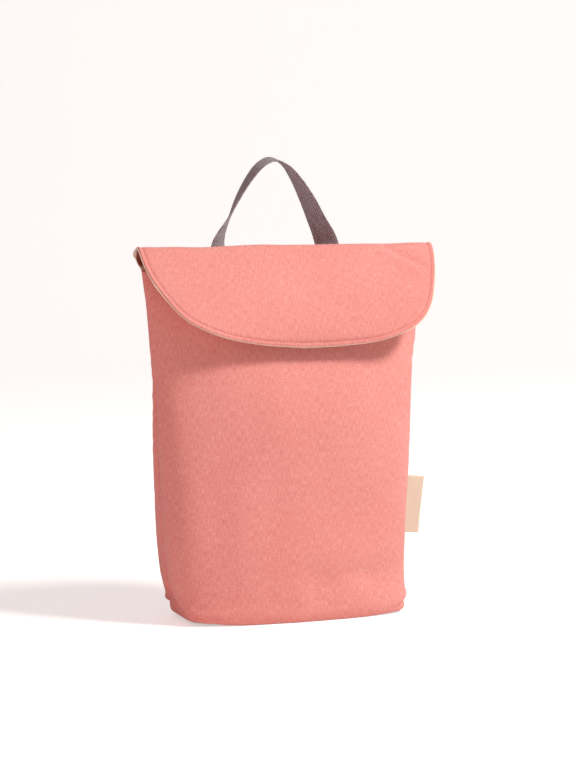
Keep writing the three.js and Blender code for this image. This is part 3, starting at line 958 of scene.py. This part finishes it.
mouth_share = (MOUTH_HEIGHT + SEAM_GAP - SEAM_HEIGHT) / (FOLD_HEIGHT - SEAM_HEIGHT)
lining_start = math.ceil(math.ceil(mouth_share * 10) * ROLL_STEPS / 10)
lining_grid = flap_face(lining_start, LINING_RIM)
into_lining = grid_normals(lining_grid)
lining_loose = loose[lining_start:]
lining_depth = flap_wall[lining_start:] + SEWN_GAP + (LINING_GAP - SEWN_GAP) * lining_loose
lining_wall = SEWN_LINING_WALL + (LINING_WALL - SEWN_LINING_WALL) * lining_loose
lining_outside = lining_grid + into_lining * (lining_depth - flap_push[lining_start:, :, None])
flap_lining = wall_mesh(
    "flap_lining_cloth", lining_outside, lining_outside + into_lining * lining_wall,
    cloth_uv(lining_grid), cream_lining,
)
# in_roll is the share of painted shade on the lining: 1 deep in the roll, 0 on the open flap
in_roll = flap_lining.data.attributes.new("in_roll", "FLOAT", "POINT")
lining_points = np.array([vertex.co[:] for vertex in flap_lining.data.vertices]) / MM
from_front = lining_points[:, 1] - (SEAM_PLANE + FOLD_BACK)
lining_hand = np.sign(lining_points[:, 0])
inset = roll_half_width(lining_points[:, 2], lining_hand) - abs(lining_points[:, 0])
depth_of_shade = smooth_step(-4.0, 2.0, from_front) * smooth_step(-0.2, 0.9, inset)
in_roll.data.foreach_set("value", depth_of_shade.astype(np.float32))
place(flap_lining, "cream_lining", "flap_lining")

# %% [markdown]
# ## The handle
#
# The handle is one band of twill webbing, 15 mm wide. Its ends are sewn flat on the back,
# and between them it stands up as an arch. A smooth curve runs through the measured
# places of its middle line, and the band's width turns slowly from flat on the back to
# square across the bag at the top.

# %% Form of the handle
HANDLE_RISE = 54
HANDLE_HALF = 37
HANDLE_WIDTH = 15
HANDLE_WALL = 1.4
HANDLE_BEHIND = 17
HANDLE_SHIFT = -2
SEWN_LENGTH = 14
SEWN_TURN = 86
SEWN_SPREAD = 1.08
HANDLE_COLUMNS = 15
HANDLE_STEPS = 360
HANDLE_TILT = 0.13
TILT_REACH = 26.0
TURN_ROUNDS = 50
BAND_BOW = 0.35
SEWN_FLAT = 20
SELVEDGE_TAPER = 0.35
# rise and spread are shares of the rise and the half width above, behind of how far the
# top stands back, and the last two are the band's turn on the right and the left
HANDLE_ROWS = [
    (0.00, 1.00, 1.00, 56, 46),
    (0.28, 0.82, 1.05, 33, 21),
    (0.52, 0.65, 1.05, 24, 9),
    (0.75, 0.45, 1.03, 12, 3),
    (0.93, 0.23, 1.00, 3, 1),
]


def handle_stations():
    """The measured places of the band's middle line, with its turn in degrees."""
    sewn_x = HANDLE_HALF * SEWN_SPREAD
    leg = []
    for height in (SEAM_HEIGHT - SEWN_LENGTH, SEAM_HEIGHT - SEWN_LENGTH / 2, SEAM_HEIGHT):
        high = np.array(height)
        across = sewn_x / pouch_half_width(high, 1)
        y = float(back_reach(across, high)) + 2 * SEAM_GAP + HANDLE_WALL / 2
        leg.append((sewn_x, y, height, SEWN_TURN, SEWN_TURN))
    for rise, spread, behind, right_turn, left_turn in HANDLE_ROWS:
        y = FOLD_BACK + behind * HANDLE_BEHIND
        high = FOLD_HEIGHT + rise * HANDLE_RISE
        leg.append((spread * HANDLE_HALF, y, high, right_turn, left_turn))
    apex = (0, FOLD_BACK + HANDLE_BEHIND, FOLD_HEIGHT + HANDLE_RISE, 0)
    right = [(x, y, z, turn) for x, y, z, turn, _ in leg]
    left = [(-x, y, z, -turn) for x, y, z, _, turn in reversed(leg)]
    return np.array(right + [apex] + left)


def centripetal(points, share):
    """A point of a centripetal Catmull-Rom curve through the points."""
    place_on = share * (len(points) - 1)
    first = min(int(place_on), len(points) - 2)
    p1, p2 = points[first], points[first + 1]
    p0 = points[first - 1] if first > 0 else 2 * p1 - p2
    p3 = points[first + 2] if first + 2 < len(points) else 2 * p2 - p1
    d0, d1, d2 = (math.sqrt(np.linalg.norm(b - a)) for a, b in ((p0, p1), (p1, p2), (p2, p3)))
    leave = (p1 - p0) / d0 - (p2 - p0) / (d0 + d1) + (p2 - p1) / d1
    arrive = (p2 - p1) / d1 - (p3 - p1) / (d1 + d2) + (p3 - p2) / d2
    return hermite(p1, p2, leave * d1, arrive * d1, place_on - first)


def handle_frame():
    """Middle line, width direction and face direction at equal steps along the band."""
    stations = handle_stations()
    shares = np.linspace(0, 1, HANDLE_STEPS + 1)
    middle = np.array([centripetal(stations[:, :3], share) for share in shares])
    middle[:, 0] += HANDLE_SHIFT
    middle[:, 1] += SEAM_PLANE
    turn = np.interp(shares * (len(stations) - 1), np.arange(len(stations)), stations[:, 3])
    turn = smooth_line(turn, TURN_ROUNDS)
    lengths = lengths_along(middle)
    even = np.linspace(0, lengths[-1], HANDLE_STEPS + 1)
    middle = points_at(even, lengths, middle)
    twist = np.radians(np.interp(even, lengths, turn))
    tangent = np.gradient(middle, axis=0)
    tangent /= np.linalg.norm(tangent, axis=1, keepdims=True)
    tilt = HANDLE_TILT * hill(even - lengths[-1] / 2, TILT_REACH)
    width = np.stack([-np.sin(twist), np.cos(twist), tilt], 1)
    width -= tangent * (width * tangent).sum(1, keepdims=True)
    width /= np.linalg.norm(width, axis=1, keepdims=True)
    face = np.cross(tangent, width)
    return middle, width, face, even


band_middle, band_width, band_face, band_length = handle_frame()


def band_points(across, layer):
    """Points of the band: across from -1 to 1 of its half width, layer from -1 to 1."""
    to_end = np.minimum(band_length, band_length[-1] - band_length)
    flat = smooth_step(0, SEWN_FLAT, to_end)
    bow = BAND_BOW * flat[:, None, None] * (1 - across[None, :, None] ** 2)
    sideways = across[None, :, None] * band_width[:, None, :] * HANDLE_WIDTH / 2
    return band_middle[:, None, :] + sideways + band_face[:, None, :] * (layer * HANDLE_WALL / 2 + bow)


def make_handle():
    across = np.sin(np.linspace(-math.pi / 2, math.pi / 2, HANDLE_COLUMNS))
    outer, inner = band_points(across, 1), band_points(across, -1)
    selvedge = 1 - SELVEDGE_TAPER * smooth_step(0.8, 1.0, abs(across))[None, :, None]
    middle = (outer + inner) / 2
    outer, inner = middle + (outer - middle) * selvedge, middle + (inner - middle) * selvedge
    uv_across = np.broadcast_to(across * HANDLE_WIDTH / 2, outer.shape[:2])
    uv_along = np.broadcast_to(band_length[:, None], outer.shape[:2])
    uv = np.stack([uv_across, uv_along], 2)
    return wall_mesh("handle_webbing", outer, inner, uv, grey_webbing)


handle = place(make_handle(), "grey_webbing", "handle")

# %% [markdown]
# ## The side tape
#
# A cream tape, folded in two, is caught in the right side seam. Its fold is on the
# outside and stays a little open. Its root follows the seam, and it hangs down a little.

# %% Form of the side tape
TAPE_REACH = 16
TAPE_LENGTH = 37
TAPE_BOTTOM = 50
TAPE_DROOP = 1.6
TAPE_TAPER = 0.6
TAPE_WALL = 1.0
TAPE_GAP = 0.8
TAPE_ROOT = 0.9
TAPE_ROWS = 70
TAPE_WAVES = {"upright": 1.0, "grain": 13.0, "height": 0.45, "seed": 4.4}


def tape_grid(radius):
    """One face of the folded tape: in along one side, round the fold and back."""
    bend = TAPE_WALL + TAPE_GAP / 2
    straight = np.linspace(-TAPE_ROOT, TAPE_REACH - bend, 26)
    angles = np.linspace(-math.pi / 2, math.pi / 2, 15)[1:-1]
    fold_x = TAPE_REACH - bend + radius * np.cos(angles)
    out = np.concatenate([straight, fold_x, straight[::-1]])
    side = np.concatenate([-radius + 0 * straight, radius * np.sin(angles), radius + 0 * straight])
    grid = np.empty((TAPE_ROWS, len(out), 3))
    for row, height in enumerate(np.linspace(0, TAPE_LENGTH, TAPE_ROWS)):
        share = out / TAPE_REACH
        root = float(pouch_half_width(np.array(TAPE_BOTTOM + height), 1)) + SEAM_GAP
        grid[row, :, 0] = root + share * (TAPE_REACH - TAPE_TAPER * (1 - height / TAPE_LENGTH))
        grid[row, :, 1] = SEAM_PLANE + side
        grid[row, :, 2] = TAPE_BOTTOM + height - share * TAPE_DROOP
    return grid


def make_tape():
    outer = tape_grid(TAPE_WALL + TAPE_GAP / 2)
    inner = tape_grid(TAPE_GAP / 2)
    bend = waves(outer * (1.0, 0.0, 1.0), TAPE_WAVES)
    bend = bend * smooth_step(0, 6, outer[:, :, 0] - outer[:, :1, 0])
    for grid in (outer, inner):
        grid[:, :, 1] += bend
    return wall_mesh("side_tape", outer, inner, cloth_uv(outer), cream_tape)


side_tape = place(make_tape(), "cream_tape", "side_label")

# %% [markdown]
# ## Stitches
#
# A machine's lockstitch shows as a row of short threads, each with its ends pulled into
# the cloth. The rows are laid out as points with a direction along the row and a
# direction out of the cloth. One Geometry Nodes tree puts a small thread at each point,
# and the result is kept as a plain mesh. The pitch along the flap is 2.1 mm.

# %% A tree that sews one row
STITCH_PITCH = 2.1
STITCH_LENGTH = 1.75
STITCH_WIDTH = 0.42
STITCH_FLATNESS = 0.8
STITCH_SEED = 5


def sewing_tree():
    tree = bpy.data.node_groups.new("stitch_row", "GeometryNodeTree")
    panel = tree.interface
    panel.new_socket("Places", in_out="INPUT", socket_type="NodeSocketGeometry")
    for name, value in (("Length", STITCH_LENGTH * MM), ("Width", STITCH_WIDTH * MM)):
        panel.new_socket(name, in_out="INPUT", socket_type="NodeSocketFloat").default_value = value
    panel.new_socket("Thread", in_out="INPUT", socket_type="NodeSocketMaterial")
    panel.new_socket("Stitches", in_out="OUTPUT", socket_type="NodeSocketGeometry")
    given = tree.nodes.new("NodeGroupInput").outputs
    along = add(tree, "GeometryNodeInputNamedAttribute", {0: "along"}, data_type="FLOAT_VECTOR")
    outward = add(tree, "GeometryNodeInputNamedAttribute", {0: "outward"}, data_type="FLOAT_VECTOR")
    upright = add(
        tree, "FunctionNodeAlignRotationToVector", {"Vector": outward.outputs[0]}, axis="Z",
    )
    turned = add(
        tree, "FunctionNodeAlignRotationToVector",
        {"Rotation": upright.outputs[0], "Vector": along.outputs[0]}, axis="X", pivot_axis="Z",
    )
    vary = add(
        tree, "FunctionNodeRandomValue", {2: 0.92, 3: 1.06, 8: STITCH_SEED}, data_type="FLOAT",
    )
    lengths = {0: given["Length"], 1: vary.outputs[1]}
    length = add(tree, "ShaderNodeMath", lengths, operation="MULTIPLY").outputs[0]
    heights = {0: given["Width"], 1: STITCH_FLATNESS}
    height = add(tree, "ShaderNodeMath", heights, operation="MULTIPLY").outputs[0]
    size = add(tree, "ShaderNodeCombineXYZ", {0: length, 1: given["Width"], 2: height})
    thread = add(tree, "GeometryNodeMeshUVSphere", {"Segments": 10, "Rings": 6, "Radius": 0.5})
    smooth = add(tree, "GeometryNodeSetShadeSmooth", {"Geometry": thread.outputs[0]})
    placed = add(
        tree, "GeometryNodeInstanceOnPoints",
        {
            "Points": given["Places"], "Instance": smooth.outputs[0],
            "Rotation": turned.outputs[0], "Scale": size.outputs[0],
        },
    )
    real = add(tree, "GeometryNodeRealizeInstances", {0: placed.outputs[0]})
    thread_given = {"Geometry": real.outputs[0], "Material": given["Thread"]}
    sewn = add(tree, "GeometryNodeSetMaterial", thread_given)
    add(tree, "NodeGroupOutput", {0: sewn.outputs[0]})
    return tree


stitch_tree = sewing_tree()
print("sewing tree with", len(stitch_tree.nodes), "nodes")

# %% Rows of stitches


def sew(name, points, outward, thread, length=STITCH_LENGTH):
    """Turns points and outward directions into a plain mesh of stitches."""
    mesh = bpy.data.meshes.new(name + "_places")
    mesh.from_pydata((points * MM).tolist(), [], [])
    way = np.gradient(points, axis=0)
    for attribute, values in (("along", way), ("outward", outward)):
        layer = mesh.attributes.new(attribute, "FLOAT_VECTOR", "POINT")
        layer.data.foreach_set("vector", np.ascontiguousarray(values, dtype=np.float32).ravel())
    source = new_object(name + "_places", mesh)
    modifier = source.modifiers.new("sew", "NODES")
    modifier.node_group = stitch_tree
    sockets = {item.name: item.identifier for item in stitch_tree.interface.items_tree}
    modifier[sockets["Length"]] = length * MM
    modifier[sockets["Width"]] = STITCH_WIDTH * MM
    modifier[sockets["Thread"]] = thread
    evaluated = source.evaluated_get(bpy.context.evaluated_depsgraph_get())
    sewn = bpy.data.meshes.new_from_object(evaluated)
    sewn.name = name
    bpy.data.objects.remove(source)
    print(name, len(points), "stitches,", len(sewn.polygons), "faces")
    return new_object(name, sewn)


def surface(piece):
    """A lookup of the nearest place on a finished piece, in millimetres."""
    vertices = [vertex.co / MM for vertex in piece.data.vertices]
    return BVHTree.FromPolygons(vertices, [list(p.vertices) for p in piece.data.polygons])


def onto(tree, points, wanted):
    """Moves points to the surface nearest them, on the side that faces the wanted way."""
    places, outward = [], []
    for point, way in zip(points, np.broadcast_to(wanted, points.shape)):
        found, normal, _, _ = tree.ray_cast(Vector(point + way * 4), Vector(-way), 12)
        if found is None:
            found, normal, _, _ = tree.find_nearest(Vector(point))
        places.append(found)
        outward.append(normal)
    return np.array(places), np.array(outward)


flap_surface = surface(flap_outer)
edge_line = even_line(free_edge(flap_outside), 0.7)
edge_tangent = smooth_line(np.gradient(edge_line, axis=0), 12)
edge_outward = []
for point in edge_line:
    nearest = ((flap_outside - point) ** 2).sum(2).argmin()
    row, column = np.unravel_index(nearest, flap_outside.shape[:2])
    inside_column = min(max(column, 2), FLAP_COLUMNS - 3)
    edge_outward.append(-into_bag[min(row, len(flap_outside) - 3), inside_column])
edge_outward = smooth_line(np.array(edge_outward), 6)
inward = np.cross(edge_tangent, edge_outward)
inward /= np.linalg.norm(inward, axis=1, keepdims=True)
if inward[len(inward) // 2, 2] < 0:
    inward = -inward
stitch_line = smooth_line(edge_line + inward * STITCH_INSET, 6)
stitch_line = even_line(stitch_line[6:-6], STITCH_PITCH)
nearest_edge = [((edge_line - point) ** 2).sum(1).argmin() for point in stitch_line]
outward_there = edge_outward[nearest_edge]
flap_places, flap_outward = onto(flap_surface, stitch_line, outward_there)
flap_stitches = sew("flap_top_stitching", flap_places, flap_outward, pink_thread)
place(flap_stitches, "pink_cloth")

# %% [markdown]
# ## Stitches on the back
#
# Two rows hold the flap's seam on the back, one on the flap and one on the panel below
# it. Each end of the handle is held by a box of stitches with a cross in it.

# %% Rows on the back and boxes on the handle
ROW_SHARE = 0.93
ROW_ABOVE = 2.3
ROW_BELOW = 2.0
BOX_HALF_WIDTH = 5.3
BOX_START = 1.8
BOX_END = 12.2
BOX_PITCH = 1.9
BOX_STITCH_LENGTH = 1.6
PATH_STEP = 0.05


def sew_along_back(name, piece, height):
    """A row of stitches straight across a piece of the back at a height."""
    across = np.linspace(-ROW_SHARE, ROW_SHARE, 400)
    high = np.array(height)
    x = across * pouch_half_width(high + 0 * across, np.where(across < 0, -1, 1))
    y = SEAM_PLANE + back_reach(across, high)
    line = even_line(np.stack([x, y, height + 0 * x], 1), STITCH_PITCH)
    places, outward = onto(surface(piece), line, np.array([0.0, 1.0, 0.0]))
    return place(sew(name, places, outward, pink_thread), "pink_cloth")


sew_along_back("back_seam_stitching_upper", flap_outer, SEAM_HEIGHT + ROW_ABOVE)
sew_along_back("back_seam_stitching_lower", back_panel, SEAM_HEIGHT - ROW_BELOW)


def box_and_cross(half_width, low, high):
    """The path of a box stitch: round the box, then along one diagonal and the other."""
    left, right = -half_width, half_width
    corners = [(left, low), (right, low), (right, high), (left, high), (left, low)]
    return np.array(corners + [(right, high)]), np.array([(right, low), (left, high)])


def on_band(flat_path, from_start):
    """Places on the outer face of the band for points (across, along) in millimetres."""
    flat = np.concatenate([np.array(flat_path, float), np.zeros((len(flat_path), 1))], 1)
    flat = even_line(flat, PATH_STEP)[:: int(BOX_PITCH / PATH_STEP)]
    along = flat[:, 1] if from_start else band_length[-1] - flat[:, 1]
    parts = (band_middle, band_width, band_face)
    middle, width, face = (points_at(along, band_length, part) for part in parts)
    side = 1 if face[0, 1] > 0 else -1
    lift = (HANDLE_WALL / 2 + 0.02) * side
    return middle + width * flat[:, :1] + face * lift, face * side


for end_name, from_start in (("right", True), ("left", False)):
    for part, path in zip(("box", "cross"), box_and_cross(BOX_HALF_WIDTH, BOX_START, BOX_END)):
        places, outward = on_band(path, from_start)
        name = f"handle_{end_name}_{part}"
        place(sew(name, places, outward, grey_thread, BOX_STITCH_LENGTH), "grey_webbing")

# %% [markdown]
# ## Floor, light and camera
#
# The photograph is a plain studio view on white. A wide pale sheet curves up behind the
# bag, so that no horizon shows. A large soft light stands high on the right in front of
# the bag, a weak one fills in from the left, and the world gives the rest. The camera
# stands to the left of the front and a little above the middle of the bag.

# %% Studio
# Lengths here are in metres. The paper glows a little, but only where the camera sees it
PAPER_GLOW = 0.5
FLOOR_FRONT = -4.0
FLOOR_BACK = 1.6
SWEEP_RADIUS = 1.2
SHEET_TOP = 6.0
SHEET_HALF_WIDTH = 7.0
VIEW_TURN = math.radians(-19.83)
VIEW_TILT = math.radians(84.07)
LIGHTS_AIM = (0, 0, 0.12)
WORLD_COLOUR = (1, 0.92, 0.91, 1)
WORLD_STRENGTH = 0.26


def make_backdrop():
    steps = [(FLOOR_FRONT, 0.0), (FLOOR_BACK, 0.0)]
    for angle in np.linspace(0, math.pi / 2, 25)[1:]:
        y = FLOOR_BACK + SWEEP_RADIUS * math.sin(angle)
        steps.append((y, SWEEP_RADIUS - SWEEP_RADIUS * math.cos(angle)))
    steps.append((FLOOR_BACK + SWEEP_RADIUS, SHEET_TOP))
    points = [(x, y, z) for y, z in steps for x in (-SHEET_HALF_WIDTH, SHEET_HALF_WIDTH)]
    faces = [(2 * i, 2 * i + 1, 2 * i + 3, 2 * i + 2) for i in range(len(steps) - 1)]
    mesh = bpy.data.meshes.new("studio_sheet")
    mesh.from_pydata(points, [], faces)
    mesh.polygons.foreach_set("use_smooth", [True] * len(faces))
    made = new_object("studio_sheet", mesh)
    made.rotation_euler = (0, 0, VIEW_TURN)
    paper, tree, shader = new_finish("pale_paper", Base_Color=linear("#F6F5F4"), Roughness=0.9)
    shader.inputs["Emission Color"].default_value = (1, 1, 1, 1)
    seen = add(tree, "ShaderNodeLightPath").outputs["Is Camera Ray"]
    glow = add(tree, "ShaderNodeMath", {0: seen, 1: PAPER_GLOW}, operation="MULTIPLY")
    tree.links.new(glow.outputs[0], shader.inputs["Emission Strength"])
    mesh.materials.append(paper)
    return made


def area_light(name, place_at, size, watts, colour):
    data = bpy.data.lights.new(name, "AREA")
    data.shape = "DISK"
    data.size = size
    data.energy = watts
    data.color = linear(colour)[:3]
    lamp = new_object(name, data)
    lamp.location = place_at
    aim = Vector(LIGHTS_AIM) - Vector(place_at)
    lamp.rotation_euler = aim.to_track_quat("-Z", "Y").to_euler()
    return lamp


make_backdrop()
area_light("key_light", (1.15, -1.0, 1.75), 0.5, 43, "#FFFBF6")
area_light("fill_light", (-1.7, -0.9, 0.7), 1.2, 7, "#FFA79E")

world = bpy.data.worlds.new("studio_white")
world.use_nodes = True
background = world.node_tree.nodes["Background"]
background.inputs["Color"].default_value = WORLD_COLOUR
background.inputs["Strength"].default_value = WORLD_STRENGTH
bpy.context.scene.world = world
bpy.context.scene.view_settings.view_transform = "Standard"

# %% Camera
camera = bpy.data.cameras.new("camera")
camera.sensor_fit = "VERTICAL"
camera.sensor_height = 36
camera.lens = 116.8
camera_object = new_object("camera", camera)
camera_object.location = (-0.5441, -1.5081, 0.3174)
camera_object.rotation_euler = (VIEW_TILT, 0, VIEW_TURN)
bpy.context.scene.camera = camera_object
